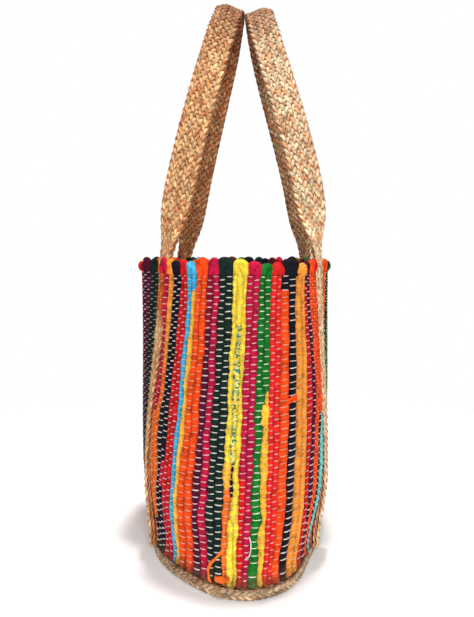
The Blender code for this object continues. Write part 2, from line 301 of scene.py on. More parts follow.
# Loose ends and knots of the near end: colour, width and thickness, and then the points along each:
# millimetres round from the near end's left, height and lift
LOOSE_RAGS = (
    ("orange", 0.0036, 0.0020, ((184.0, 0.051, -0.001), (179.0, 0.043, 0.0022), (172.0, 0.034, 0.003),
                                (169.5, 0.026, 0.003), (171.0, 0.018, 0.0025), (173.0, 0.013, 0.001))),
    ("orange", 0.0075, 0.0040, ((175.5, 0.0185, 0.0), (180.0, 0.019, 0.0012), (186.0, 0.020, 0.0012),
                                (190.0, 0.021, 0.0))),
    ("orange_red", 0.0066, 0.0034, ((244.0, 0.1975, -0.001), (249.0, 0.1985, 0.0008),
                                    (255.0, 0.1995, 0.0008), (259.5, 0.1985, -0.001))),
    ("amber", 0.0085, 0.0036, ((219.5, 0.197, -0.001), (219.0, 0.192, 0.001), (218.5, 0.183, 0.001),
                               (218.5, 0.176, -0.001))),
    ("cotton", 0.0011, 0.0009, ((208.0, 0.064, 0.0), (209.8, 0.058, 0.0016), (210.0, 0.051, 0.0016),
                                (208.6, 0.045, 0.0016), (204.8, 0.0425, 0.0))),
)
# How far each loop of the near end stands above or below the rim, in millimetres
NEAR_RISES = (
    2.5, 2.5, 2.0, 2.0, 2.0, 2.0, 2.0, 3.5, 1.0, 0.0, 0.5, -1.0, 3.5, 3.0, 4.0, 1.5, -0.5, -2.5, -2.0,
    3.0, -2.5, -0.5, 0.5, 0.0, 1.0,
)
# Where rags of the near end crowd their neighbours: the column from the left, and how far its left
# edge shifts to the right at some heights, in millimetres
COLUMN_BENDS = (
    (13, (0.100, 0.140, 0.170, 0.185), (0.0, -2.0, -2.0, 0.0)),
    (14, (0.100, 0.140, 0.175, 0.195), (0.0, -5.0, -4.0, 0.0)),
    (15, (0.050, 0.110, 0.150, 0.178, 0.200), (-2.0, 0.0, -7.0, -5.0, 1.0)),
    (16, (0.120, 0.150, 0.178, 0.200), (0.0, -3.0, -2.0, 0.5)),
    (28, (0.074, 0.083, 0.099, 0.137, 0.146), (0.0, 1.8, 2.2, 2.2, 0.0)),
    (29, (0.074, 0.083, 0.137, 0.146), (0.0, -2.2, -1.9, 0.0)),
    (33, (0.020, 0.046, 0.059, 0.069, 0.079, 0.092, 0.188, 0.196, 0.209, 0.214),
     (4.4, 4.8, 2.6, 2.8, 5.0, 2.4, 1.2, 3.4, 3.6, 0.0)),
    (34, (0.020, 0.090, 0.200, 0.300), (4.2, 3.2, 1.0, 0.0)),
    (35, (0.020, 0.090, 0.200), (3.0, 1.8, 0.0)),
    (36, (0.020, 0.090, 0.200), (1.5, 0.8, 0.0)),
    (40, (0.200, 0.250, 0.300), (0.0, -2.5, -6.0)),
    (41, (0.100, 0.150, 0.200, 0.250, 0.300), (0.0, 1.5, 5.0, 1.0, -4.5)),
    (42, (0.100, 0.150, 0.200, 0.250, 0.300), (0.0, 1.5, 5.0, 1.5, -3.0)),
    (43, (0.100, 0.150, 0.200, 0.250, 0.300), (0.0, 1.5, 5.5, 2.0, -1.0)),
    (44, (0.100, 0.130, 0.150, 0.200, 0.250), (-1.2, -0.6, 1.2, 5.0, 0.0)),
    (45, (0.100, 0.140, 0.160, 0.200, 0.250), (-3.4, -2.6, 0.0, 3.0, 0.0)),
)
# The rags of the far end, whose tops show beyond the near rim, mostly dark ones that stand in as
# painted shade inside the far rim, and those of the rest
FAR_START = 0.160
FAR_RAGS = [
    "purple", "crimson", "maroon", "navy", "dark_green", "navy", "olive", "maroon", "maroon", "navy",
    "orange", "blue", "dark_green",
]
OTHER_RAGS = [
    "red", "navy", "orange", "dark_green", "magenta", "yellow", "orange_red", "purple", "blue",
    "crimson", "green", "light_orange", "bright_red", "navy", "amber", "turquoise", "magenta",
    "orange", "olive", "dark_green", "red",
]
RAG_STRIDE = 8
PIECED_SHARE = 0.3
PIECED_HEIGHTS = (0.06, 0.28)

# How far the columns shift round the rim by the time they reach the foot, at places round it
FAN_PLACES = (0.545, 0.620, 0.677, 0.687, 0.698, 0.711, 0.724, 0.739, 0.753, 0.844, 0.853, 0.870,
              0.895, 0.930)
FAN_SHIFTS = (0.0, -0.032, -0.033, -0.026, -0.025, -0.0145, -0.009, -0.005, -0.001, 0.0, 0.018, 0.020,
              0.005, 0.0)
# and how far they shift halfway down beyond that
SWELL_PLACES = (0.790, 0.844, 0.853, 0.870, 0.900)
SWELL_SHIFTS = (0.0, 0.008, 0.008, 0.005, 0.0)
FAN_TOP = 0.312

# How far the cloth puffs up beside the handles, at heights from the foot to the rim
PUFF_HEIGHTS = (0.030, 0.120, 0.200, 0.245, 0.270, 0.290, 0.341)
LEFT_PUFFS = (0.0, 0.0045, 0.0065, 0.0045, 0.0080, 0.0175, 0.0170)
RIGHT_PUFFS = (0.0, 0.0070, 0.0080, 0.0090, 0.0095, 0.0095, 0.0080)
FOOT_PUFF = 0.0030
PUFF_START = 0.0008
PUFF_RISE = 0.006
PUFF_PLACE = 0.007
PUFF_SPREAD = 0.016
SWAY = 0.0006
SWAY_RUN = 0.02
SWAY_RISE = 0.06
# How far the columns' edges wander, in waves of some lengths and strengths
COLUMN_WANDER = 0.0006
WANDER_WAVES = ((0.090, 1.0), (0.041, 0.7), (0.023, 0.4))
LUMP = 0.0003
SCALLOP = 0.00032
POINT_WANDER = 0.00025

CAMERA_PLACE = (0.0272, -0.92, 0.353)
CAMERA_RIGHT = (0.99957781, 0.02905531, 0.0)
CAMERA_UP = (-0.00239294, 0.08232338, 0.9966028)
CAMERA_LENS = 42.0
ROOM_LIGHT = 0.32
FLOOR_RADIUS = 0.8
FLOOR_DROP = 0.0002
FLOOR_GLOW = 0.06
WHITE = (1.0, 1.0, 1.0, 1.0)
# Each light's place, what it points at, its size and its power
TOP_LIGHT = ((0.10, 0.16, 3.2), (0.0, 0.0, 0.0), 0.3, 68.0)
KEY_LIGHT = ((0.24, -2.1, 1.0), (0.0, 0.0, 0.25), 0.6, 35.0)


# Small sums

def smooth_share(value):
    """Ease from 0 to 1 as the value runs from 0 to 1."""
    share = np.clip(value, 0.0, 1.0)
    return share * share * (3.0 - 2.0 * share)


def blend(low, high, share):
    return low + (high - low) * share


def unit(vectors):
    return vectors / np.linalg.norm(vectors, axis=-1, keepdims=True)


def linear(colour):
    """A colour given in 0 to 255 as light."""
    share = np.asarray(colour, dtype=float) / 255.0
    return np.where(share <= 0.04045, share / 12.92, ((share + 0.055) / 1.055) ** 2.4)


def ellipse_lengths(half_depth, half_length):
    angles = np.linspace(0.0, math.tau, ELLIPSE_SAMPLES + 1)
    steps = np.hypot(half_depth * np.diff(np.cos(angles)), half_length * np.diff(np.sin(angles)))
    return angles, np.concatenate([[0.0], np.cumsum(steps)])


def ellipse_round(half_depth, half_length):
    return ellipse_lengths(half_depth, half_length)[1][-1]


def ellipse_angle(half_depth, half_length, share):
    """The ellipse's angle at a share of the way round it."""
    angles, lengths = ellipse_lengths(half_depth, half_length)
    turns = np.floor(share)
    return math.tau * turns + np.interp((share - turns) * lengths[-1], lengths, angles)


def lifted(point, first, second, lift):
    """Points a lift off a surface, and the outward direction at each."""
    points = point(first, second, lift)
    return points, unit(point(first, second, lift + PROBE) - points)


def steps_below(values, count):
    """The step of an even table below each value, and the part of the way to the next step."""
    values = np.clip(values, 0.0, count - 1.001)
    low = values.astype(int)
    return low, values - low


# The body's outside, by the same rules as the solid

def body_foot():
    return MAT_THICKNESS + SEAT_GAP


def body_half_sizes(height):
    """The body's reach to the left, right and along at a height. Its lower edge is tucked in."""
    flare = smooth_share((height - body_foot()) / FLARE_HEIGHT)
    narrowing = smooth_share((height - NARROWING_START) / (BODY_TOP - NARROWING_START))
    left = blend(MAT_HALF_DEPTH - FOOT_INSET, LEFT_HALF_DEPTH, flare)
    right = blend(MAT_HALF_DEPTH - FOOT_INSET, RIGHT_HALF_DEPTH, flare)
    upper_length = blend(BELLY_HALF_LENGTH, RIM_HALF_LENGTH, narrowing)
    length = blend(MAT_HALF_LENGTH - FOOT_INSET, upper_length, flare)
    up = np.clip((height - body_foot()) / TUCK_HEIGHT, 0.0, 1.0)
    tuck = TUCK_DEPTH * (1.0 - np.sqrt(1.0 - (1.0 - up) ** 2))
    return left - tuck, right - tuck, length - tuck


def near_end_shift(y, half_length):
    """Beyond its near straps, the near end sits a little towards +X."""
    start = STRAP_OFFSET + 0.5 * STRAP_WIDTH
    return NEAR_END_SHIFT * smooth_share((-y - start) / (half_length - start))


def outline_x(side, y, height):
    """How far out in X the body's outline lies at a place along its length."""
    left, right, half_length = body_half_sizes(height)
    on_left = side < 0
    reach = np.where(on_left, left, right)
    belly_pull = np.where(on_left, LEFT_BELLY_PULL, RIGHT_BELLY_PULL)
    rim_pull = np.where(on_left, LEFT_RIM_PULL, RIGHT_RIM_PULL)
    slant = np.where(on_left, LEFT_SLANT, RIGHT_SLANT)
    away = np.abs(y) - STRAP_OFFSET
    flattened = away * (1.0 - STRAP_FLATTENING * np.exp(-((away / FLATTENING_SPREAD) ** 2)))
    share = np.clip((STRAP_OFFSET + flattened) / half_length, 0.0, 1.0)
    width = reach * np.sqrt(1.0 - share * share)
    rise = smooth_share((height - PULL_START) / (BODY_TOP - PULL_START))
    flare = smooth_share((height - body_foot()) / FLARE_HEIGHT)
    beside = np.maximum(np.abs(away) - 0.5 * STRAP_WIDTH, 0.0)
    pull = flare * blend(belly_pull, rim_pull, rise) * np.exp(-((beside / PULL_SPREAD) ** 2))
    lean = rise * slant * away * np.exp(-((away / SLANT_SPREAD) ** 2))
    return side * (width - pull - lean) + near_end_shift(y, half_length)


def body_plan(angle, height):
    """Points of the body's outline at an angle round it and a height."""
    y = body_half_sizes(height)[2] * np.sin(angle)
    side = np.where(np.cos(angle) < 0.0, -1.0, 1.0)
    return np.stack([outline_x(side, y, height), y, height + 0.0 * y], axis=-1)


def body_outside(angle, height, outwards):
    """Points that lie a distance outside the body's outline, level with it."""
    here = body_plan(angle, height)
    along = unit(body_plan(angle + TANGENT_STEP, height) - here)
    normal = np.stack([along[..., 1], -along[..., 0], 0.0 * along[..., 0]], axis=-1)
    return here + np.asarray(outwards)[..., None] * normal


def rim_round():
    return ellipse_round(0.5 * (LEFT_HALF_DEPTH + RIGHT_HALF_DEPTH), RIM_HALF_LENGTH)


def column_fan(share, height):
    """How far the columns spread as they go down from the rim, as a share of the way round."""
    place = np.mod(share, 1.0)
    down = np.clip((FAN_TOP - height) / (FAN_TOP - body_foot()), 0.0, 1.0)
    fan = np.interp(place, FAN_PLACES, FAN_SHIFTS) * down ** 1.15
    swell = np.interp(place, SWELL_PLACES, SWELL_SHIFTS) * (4.0 * down * (1.0 - down)) ** 2
    return (fan + swell) / rim_round()


def on_cloth(share, height, outwards):
    """A place on the cloth: the columns drift as they go down, and the cloth is never quite even."""
    share, height, outwards = np.broadcast_arrays(share, height, outwards)
    lower = share + COLUMN_DRIFT * (height / BODY_TOP - 1.0) + column_fan(share, height)
    angle = ellipse_angle(0.5 * (LEFT_HALF_DEPTH + RIGHT_HALF_DEPTH), RIM_HALF_LENGTH, lower)
    return body_outside(angle, height, outwards + cloth_sway(lower, angle, height))


def cloth_sway(share, angle, height):
    """Slow waves of the cloth that die away at the mat and the handles, and the puffs beside these."""
    y = body_half_sizes(height)[2] * np.sin(angle)
    beside = np.abs(y) - STRAP_OFFSET - 0.5 * STRAP_WIDTH
    clear = smooth_share((np.abs(np.abs(y) - STRAP_OFFSET) - 0.5 * STRAP_WIDTH) / SWAY_RUN)
    clear = clear * smooth_share((height - body_foot()) / SWAY_RISE)
    waves = np.sin(math.tau * 9.0 * share + 11.0 * height)
    waves = waves + np.sin(math.tau * 5.0 * share - 23.0 * height)
    left = np.interp(height, PUFF_HEIGHTS, LEFT_PUFFS)
    right = np.interp(height, PUFF_HEIGHTS, RIGHT_PUFFS)
    puff = np.where(np.cos(angle) < 0.0, left, right)
    puff = puff * smooth_share((beside - PUFF_START) / PUFF_RISE)
    puff = puff * np.exp(-((np.maximum(beside - PUFF_PLACE, 0.0) / PUFF_SPREAD) ** 2))
    foot = FOOT_PUFF * (1.0 - smooth_share((height - body_foot()) / TUCK_HEIGHT))
    return SWAY * clear * waves + puff + foot


# Meshes

class Piece:
    """Collects points and faces, with a place on the material and a colour for each corner."""

    def __init__(self):
        self.points = []
        self.faces = []
        self.places = []
        self.colours = []
        self.count = 0

    def add(self, points, faces, places, colours):
        """faces index into points; places and colours hold one row for each corner of the faces."""
        self.points.append(points.reshape(-1, 3))
        self.faces.append(np.asarray(faces) + self.count)
        self.places.append(np.asarray(places).reshape(-1, 2))
        self.colours.append(np.asarray(colours).reshape(-1, 3))
        self.count += len(self.points[-1])

    def make(self, name, material):
        data = bpy.data.meshes.new(name)
        faces = [face for block in self.faces for face in block.tolist()]
        data.from_pydata(np.concatenate(self.points).tolist(), [], faces)
        places = data.uv_layers.new(name="weave")
        places.data.foreach_set("uv", np.concatenate(self.places).astype(np.float32).ravel())
        colours = data.color_attributes.new("yarn_colour", "FLOAT_COLOR", "CORNER")
        rows = np.concatenate(self.colours)
        rows = np.concatenate([rows, np.ones((len(rows), 1))], axis=1)
        colours.data.foreach_set("color", rows.astype(np.float32).ravel())
        data.shade_smooth()
        data.materials.append(material)
        data.validate()
        data.update()
        thing = bpy.data.objects.new(name, data)
        bpy.context.collection.objects.link(thing)
        return thing


def grid_faces(rows, columns, closed=False):
    """Quads of a grid of points, numbered row by row. Each row runs round, and so may the rows."""
    row = np.arange(rows if closed else rows - 1)
    row, column = np.meshgrid(row, np.arange(columns), indexing="ij")
    next_row, next_column = (row + 1) % rows, (column + 1) % columns
    corners = [row * columns + column, row * columns + next_column,
               next_row * columns + next_column, next_row * columns + column]
    return np.stack(corners, axis=-1).reshape(-1, 4)


def grid_places(across, along):
    """Corner places of the same quads: across changes along a row, and along from row to row."""
    low, left = np.meshgrid(along[:-1], across[:-1], indexing="ij")
    high, right = np.meshgrid(along[1:], across[1:], indexing="ij")
    pairs = (left, low), (right, low), (right, high), (left, high)
    corners = [np.stack(pair, axis=-1) for pair in pairs]
    return np.stack(corners, axis=2).reshape(-1, 4, 2)


def add_tubes(piece, centres, wide, thick, sides, colours, chance, closed=False):
    """Many tubes of the same cut. centres, wide and thick are tubes x stations x 3.

    wide and thick reach from the centre to the tube's two pairs of sides. colours are tubes x 3, or
    tubes x stations x 3. Each tube has its own place on the material.
    """
    tubes, stations = centres.shape[:2]
    offsets = chance.uniform(0.0, 5.0, (tubes, 2))
    turn = math.tau * np.arange(sides) / sides
    ring = wide[:, :, None] * np.cos(turn)[:, None] + thick[:, :, None] * np.sin(turn)[:, None]
    points = centres[:, :, None] + ring
    ahead = centres[:, 1] - centres[:, 0]
    outward = np.einsum("ij,ij->i", np.cross(wide[:, 0], thick[:, 0]), ahead)
    faces = grid_faces(stations, sides, closed)
    steps = np.linalg.norm(np.diff(centres, axis=1), axis=-1)
    girth = math.pi * (np.linalg.norm(wide, axis=-1).mean() + np.linalg.norm(thick, axis=-1).mean())
    if colours.ndim == 2:
        colours = np.repeat(colours[:, None], stations, axis=1)
    for index in range(tubes):
        lengths = np.concatenate([[0.0], np.cumsum(steps[index])])
        if closed:
            lengths = np.append(lengths, lengths[-1] + steps[index].mean())
        places = grid_places(np.linspace(0.0, girth, sides + 1), lengths)
        places = places + offsets[index]
        shades = colours[index][faces // sides]
        block = faces
        if outward[index] < 0.0:
            block, places, shades = faces[:, ::-1], places[:, ::-1], shades[:, ::-1]
        piece.add(points[index], block, places, shades)
        if not closed:
            add_caps(piece, points[index], colours[index], outward[index] < 0.0, places[0, 0])


def add_caps(piece, rings, colours, flipped, place):
    """Close a tube's two ends."""
    sides = rings.shape[1]
    first, last = np.arange(sides)[::-1], np.arange(sides) + len(rings) * sides - sides
    if flipped:
        first, last = first[::-1], last[::-1]
    base = piece.count - rings.shape[0] * sides
    for face, colour in ((first, colours[0]), (last, colours[-1])):
        piece.faces.append((face + base)[None])
        piece.places.append(np.repeat(np.asarray(place)[None], sides, axis=0))
        piece.colours.append(np.repeat(colour[None], sides, axis=0))


# Finishes

class Value:
    """A socket that gives a value. A sum with it adds a Math node."""

    def __init__(self, finish, socket):
        self.finish = finish
        self.socket = socket

    def maths(self, operation, *values):
        return self.finish.node("ShaderNodeMath", {"operation": operation}, dict(enumerate(values)))

    def __add__(self, other):
        return self.maths("ADD", self, other)

    def __radd__(self, other):
        return self.maths("ADD", other, self)


class Finish:
    """A material under construction."""

    def __init__(self, name):
        self.material = bpy.data.materials.new(name)
        self.material.use_nodes = True
        self.tree = self.material.node_tree
        self.shader = self.tree.nodes["Principled BSDF"]

    def node(self, kind, settings, inputs, output=0):
        made = self.tree.nodes.new(kind)
        for name, setting in settings.items():
            setattr(made, name, setting)
        self.connect(made, inputs)
        return Value(self, made.outputs[output])

    def connect(self, made, inputs):
        for name, value in inputs.items():
            if isinstance(value, Value):
                self.tree.links.new(value.socket, made.inputs[name])
            else:
                made.inputs[name].default_value = value

    def place(self):
        return self.node("ShaderNodeUVMap", {"uv_map": "weave"}, {})

    def yarn_colour(self):
        return self.node("ShaderNodeAttribute", {"attribute_name": "yarn_colour"}, {})

    def stretched(self, vector, across, along):
        """The place scaled by different amounts across and along."""
        return self.node("ShaderNodeVectorMath", {"operation": "MULTIPLY"},
                         {0: vector, 1: (across, along, 1.0)})

    def noise(self, vector, scale, detail, roughness):
        inputs = {"Vector": vector, "Scale": scale, "Detail": detail, "Roughness": roughness}
        return self.node("ShaderNodeTexNoise", {"noise_dimensions": "2D"}, inputs)

    def ranged(self, value, from_low, from_high, to_low, to_high):
        inputs = {0: value, 1: from_low, 2: from_high, 3: to_low, 4: to_high}
        return self.node("ShaderNodeMapRange", {}, inputs)

    def mixed(self, factor, first, second, blend_type="MIX"):
        settings = {"data_type": "RGBA", "blend_type": blend_type}
        return self.node("ShaderNodeMix", settings, {0: factor, 6: first, 7: second}, output=2)

    def shaded(self, colour, value):
        """The colour made lighter or darker by a value."""
        grey = self.node("ShaderNodeCombineColor", {}, {0: value, 1: value, 2: value})
        return self.mixed(1.0, colour, grey, "MULTIPLY")

    def bump(self, height, strength, distance, normal=None):
        inputs = {"Height": height, "Strength": strength, "Distance": distance}
        if normal is not None:
            inputs["Normal"] = normal
        return self.node("ShaderNodeBump", {}, inputs)

    def finished(self, **inputs):
        self.connect(self.shader, {name.replace("_", " "): value for name, value in inputs.items()})
        return self.material


def rag_finish():
    """Torn printed cotton: soft folds along the rag, with painted shade and highlight along them, fine
    threads and faded patches.
    """
    finish = Finish("cotton_rag")
    place = finish.place()
    folds = finish.noise(finish.stretched(place, 1.0, 0.30), 420.0, 3.0, 0.55)
    threads = finish.noise(finish.stretched(place, 1.0, 0.55), 1700.0, 2.0, 0.6)
    patches = finish.noise(place, 90.0, 3.0, 0.65)
    # The folds' noise also darkens and lightens the colour: painted shade and highlight
    tone = finish.ranged(patches, 0.3, 0.7, 0.66, 1.30) + finish.ranged(folds, 0.3, 0.7, -0.24, 0.22)
    colour = finish.shaded(finish.yarn_colour(), tone + finish.ranged(threads, 0.3, 0.7, -0.08, 0.08))
    faded = finish.ranged(threads, 0.55, 0.75, 0.0, 0.05)
    colour = finish.mixed(faded, colour, (0.80, 0.66, 0.58, 1.0))
    normal = finish.bump(folds, 0.8, 0.0016)
    normal = finish.bump(threads, 0.5, 0.0004, normal)
    return finish.finished(Base_Color=colour, Roughness=0.9, Normal=normal, Specular_IOR_Level=0.12)


def warp_finish():
    """Plied cotton string."""
    finish = Finish("warp_cotton")
    place = finish.place()
    ply = finish.noise(finish.stretched(place, 1.0, 0.6), 1500.0, 2.0, 0.5)
    colour = finish.shaded(finish.yarn_colour(), finish.ranged(ply, 0.3, 0.7, 0.86, 1.06))
    normal = finish.bump(ply, 0.5, 0.0004)
    return finish.finished(Base_Color=colour, Roughness=0.75, Normal=normal, Specular_IOR_Level=0.3)


def jute_finish(name):
    """Jute: fibres along each strand, from cream to brown, with darker and redder stretches."""
    finish = Finish(name)
    place = finish.place()
    fibres = finish.noise(finish.stretched(place, 1.0, 0.13), 1500.0, 3.0, 0.6)
    yarns = finish.noise(finish.stretched(place, 1.0, 0.16), 620.0, 2.0, 0.6)
    stretches = finish.noise(finish.stretched(place, 0.6, 0.5), 170.0, 2.0, 0.5)
    warmth = finish.noise(finish.stretched(place, 0.6, 0.6), 95.0, 1.0, 0.5)
    tone = finish.ranged(stretches, 0.32, 0.68, 0.72, 1.18)
    tone = tone + finish.ranged(fibres, 0.3, 0.7, -0.28, 0.28)
    tone = tone + finish.ranged(yarns, 0.3, 0.7, -0.46, 0.36)
    colour = finish.shaded(finish.yarn_colour(), tone)
    colour = finish.mixed(finish.ranged(warmth, 0.5, 0.7, 0.0, 0.45), colour,
                          finish.shaded(colour, finish.ranged(warmth, 0.5, 0.8, 1.0, 0.62)))
    normal = finish.bump(yarns, 0.8, 0.0009)
    normal = finish.bump(fibres, 0.8, 0.0006, normal)
    return finish.finished(Base_Color=colour, Roughness=0.62, Normal=normal, Sheen_Weight=0.05,
                           Specular_IOR_Level=0.4)


# The woven cloth

def shuffled_rags(chance, length):
    """Pairs of columns in shuffled colours that fill a length of the rim."""
    pairs = max(round(length / (2.0 * COLUMN_WIDTH)), 1)
    widths = chance.uniform(0.88, 1.12, pairs)
    widths = widths * length / (2.0 * MM * widths.sum())
    rags = []
    for index, width in enumerate(widths):
        colour = OTHER_RAGS[(index * RAG_STRIDE + int(chance.integers(0, 3))) % len(OTHER_RAGS)]
        second = (width, colour)
        if chance.random() < PIECED_SHARE:
            other = OTHER_RAGS[int(chance.integers(0, len(OTHER_RAGS)))]
            second = (width, colour, float(chance.uniform(*PIECED_HEIGHTS)), other)
        rags.append((colour, [(width, colour), second]))
    return rags


def all_rags():
    """Every rag of the bag in its order round the rim, from the left of the near end."""
    chance = np.random.default_rng(11)
    near_width = MM * sum(column[0] for rag in NEAR_RAGS for column in rag[1])
    near_end = NEAR_START + near_width / rim_round()
    far = [(colour, [(COLUMN_WIDTH / MM, colour)] * 2) for colour in FAR_RAGS]
    far_end = FAR_START + 2.0 * COLUMN_WIDTH * len(FAR_RAGS) / rim_round()
    before = shuffled_rags(chance, (1.0 + FAR_START - near_end) * rim_round())
    after = shuffled_rags(chance, (NEAR_START - far_end) * rim_round())
    after[-1] = ("purple", [(column[0], "purple") for column in after[-1][1]])
    return NEAR_RAGS + before + far + after


def all_columns():
    """Every column in its order round the rim."""
    return [column for rag in all_rags() for column in rag[1]]


def column_colour(column, heights):
    """The column's colour at each height, as light, and where it is a twisted rag."""
    rows = np.repeat(linear(RAGS[column[1]])[None], len(heights), axis=0)
    twisted = np.zeros(len(heights), dtype=bool)
    for height, colour in zip(column[2::2], column[3::2]):
        rows[heights < height] = linear(RAGS[colour])
        twisted[heights < height] = colour == "twisted"
    return rows, twisted


def column_edges(columns, heights):
    """The columns' edges at each height, as shares of the way round. They wander a little."""
    chance = np.random.default_rng(17)
    widths = np.array([column[0] for column in columns])
    edges = NEAR_START + np.concatenate([[0.0], np.cumsum(widths)]) / widths.sum()
    phases = chance.uniform(0.0, math.tau, (len(WANDER_WAVES), len(columns)))
    waves = sum(strength * np.sin(math.tau * heights[:, None] / length + phase)
                for (length, strength), phase in zip(WANDER_WAVES, phases))
    wander = COLUMN_WANDER * waves / rim_round()
    cell = (heights[:, None] - FIRST_FLOAT) / WEAVE_CELL + 0.5 * (np.arange(len(columns)) % 2)
    wander = wander + SCALLOP * np.cos(math.tau * cell) / rim_round()
    edges = edges[None] + np.concatenate([wander, wander[:, :1]], axis=1)
    for column, levels, shifts in COLUMN_BENDS:
        edges[:, column] += MM * np.interp(heights, levels, shifts) / rim_round()
    return edges


def column_relief(columns, heights):
    """How far each outside point of each row stands out. Each rag is pinched under its floats."""
    chance = np.random.default_rng(5)
    plump = chance.uniform(0.80, 1.06, len(columns))
    lumps = chance.uniform(-LUMP, LUMP, (len(heights), len(columns), POINTS_PER_COLUMN))
    cell = (heights - FIRST_FLOAT) / WEAVE_CELL
    cell = cell[:, None] + 0.5 * (np.arange(len(columns)) % 2)
    away = np.abs(cell - np.round(cell))
    pinch = 1.0 - PINCH * np.exp(-((away / PINCH_REACH) ** 2))
    fraction = np.arange(POINTS_PER_COLUMN) / POINTS_PER_COLUMN
    crown = np.sin(math.pi * fraction) ** 0.5
    out = GROOVE_DEPTH + CREST_RELIEF * plump[None, :, None] * pinch[:, :, None]
    relief = out * crown - GROOVE_DEPTH + lumps * (crown > 0.0)
    return relief.reshape(len(heights), -1)


def cloth_colours(columns, heights, faces):
    """Each face's colour: its rag's, flecked where the rag is twisted, and at the foot blended towards
    a dusty brown that is also painted shade where the cloth tucks under.
    """
    count = len(columns) * POINTS_PER_COLUMN
    owner = (faces[:, 0] % count) // POINTS_PER_COLUMN
    level = faces[:, 0] // count
    rags = [column_colour(column, heights) for column in columns]
    plain, twisted = (np.stack(part, axis=1)[level, owner] for part in zip(*rags))
    flecks = np.array([linear(RAGS[name]) for name in TWISTED_COLOURS])
    flecks = flecks[np.random.default_rng(29).integers(0, len(flecks), len(faces))]
    # Painted shade and dust: darker and browner towards the foot
    dust_and_shade = DUST_AND_SHADE_STRENGTH * (1.0 - smooth_share((heights[level] - body_foot()) / DUST_AND_SHADE_HEIGHT))
    return blend(np.where(twisted[:, None], flecks, plain), linear(DUST_AND_SHADE), dust_and_shade[:, None])


def make_cloth(material):
    """The body: one closed shell of rag columns, outside and inside."""
    columns = all_columns()
    outside = np.arange(body_foot(), CLOTH_TOP, WEAVE_CELL / ROWS_PER_CELL)
    rows = round((CLOTH_TOP - body_foot()) / INSIDE_CELL)
    inside = np.linspace(CLOTH_TOP - LIP_DROP, body_foot(), rows)
    heights = np.concatenate([outside, inside])
    edges = column_edges(columns, heights)
    fraction = np.arange(POINTS_PER_COLUMN) / POINTS_PER_COLUMN
    shares = edges[:, :-1, None] + np.diff(edges, axis=1)[:, :, None] * fraction
    shares = shares.reshape(len(heights), -1)
    shares = shares + np.random.default_rng(3).normal(0.0, POINT_WANDER, shares.shape) / rim_round()
    ridge = np.tile(INSIDE_RIDGE * np.sin(math.pi * fraction), len(columns))
    relief = column_relief(columns, outside)
    out = np.concatenate([relief, np.repeat((-WALL - ridge)[None], len(inside), axis=0)])
    points = on_cloth(shares, heights[:, None], out)
    faces = grid_faces(len(heights), shares.shape[1], closed=True)
    across = np.arange(shares.shape[1] + 1) * COLUMN_WIDTH / POINTS_PER_COLUMN
    along = np.append(heights, heights[0])
    along[len(outside):] = BODY_TOP + INSIDE_PLACE - along[len(outside):]
    # Painted shade in the colour: darker into the grooves and at the pinches under the floats, and
    # darker on the inside
    depth = (relief + GROOVE_DEPTH) / (CREST_RELIEF + GROOVE_DEPTH)
    shade = np.concatenate([blend(GROOVE_SHADE, 1.0, np.clip(depth, 0.0, 1.0)),
                            np.full((len(inside), shares.shape[1]), INSIDE_SHADE)]).ravel()
    colours = cloth_colours(columns, heights, faces)[:, None] * shade[faces][..., None]
    piece = Piece()
    piece.add(points, faces, grid_places(across, along), colours)
    return piece.make("woven_cloth", material)


def make_floats(name, material, inside):
    """The cotton floats: short arches that cross one column each, half a cell apart by turns."""
    chance = np.random.default_rng(23 + inside)
    columns = all_columns()
    reach, rise = np.array(INNER_FLOAT if inside else OUTER_FLOAT)
    rise = rise - WALL * inside
    rows = np.arange(FIRST_FLOAT, LAST_FLOAT, WEAVE_CELL)
    piece = Piece()
    for index, column in enumerate(columns):
        stagger = 0.5 * ((index + inside) % 2) * WEAVE_CELL
        heights = rows - stagger + chance.normal(0.0, FLOAT_STRAY, len(rows))
        kept = chance.random(len(rows)) > FLOAT_GAPS
        heights = heights[(heights > LOWEST_FLOAT) & kept]
        count = len(heights)
        edges = column_edges(columns, heights)[:, index:index + 2]
        share = edges[:, :1] + (edges[:, 1:] - edges[:, :1]) * reach
        tilt = chance.normal(*FLOAT_TILT, (count, 1))
        level = heights[:, None] + tilt * np.linspace(-0.5, 0.5, len(reach))
        lift = rise[None] + chance.normal(0.0, FLOAT_LIFT, (count, 1))
        centres, outward = lifted(on_cloth, share, level, lift)
        swell = np.sin(math.pi * blend(0.18, 0.82, reach))[:, None] ** 0.5
        size = chance.uniform(*FLOAT_SIZES, (count, 1, 1)) * swell
        thick = 0.5 * FLOAT_THICKNESS * size * outward
        wide = np.zeros_like(centres)
        wide[..., 2] = 0.5 * FLOAT_HEIGHT * size[..., 0]
        # Each float's tone varies at random, and is lower on the first columns at the left
        float_tone = chance.uniform(0.85, 1.0, (count, 1)) * (FLOAT_DARKENING if index < DARKER_FLOAT_COLUMNS else 1.0)
        shade = float_colour(column_colour(column, heights)[0], float_tone)
        add_tubes(piece, centres, wide, thick, FLOAT_SIDES, shade, chance)
    return piece.make(name, material)


def float_colour(rag, float_tone):
    """Cotton takes a tint from the rag it crosses, and more from a pale one."""
    strength = np.clip(rag, 0.0, 1.0) @ np.array([0.30, 0.55, 0.15])
    bleed = blend(0.03, 0.85, np.clip(1.4 * np.sqrt(strength), 0.0, 1.0) ** 2)[:, None]
    tint = np.sqrt(np.clip(rag, 0.0, 1.0) / np.maximum(rag.max(axis=1, keepdims=True), 0.05))
    tint = blend(1.0, np.clip(tint, 0.0, 1.0), np.clip(1.3 * bleed + 0.1, 0.0, 0.96))
    return linear(RAGS["cotton"])[None] * tint * float_tone


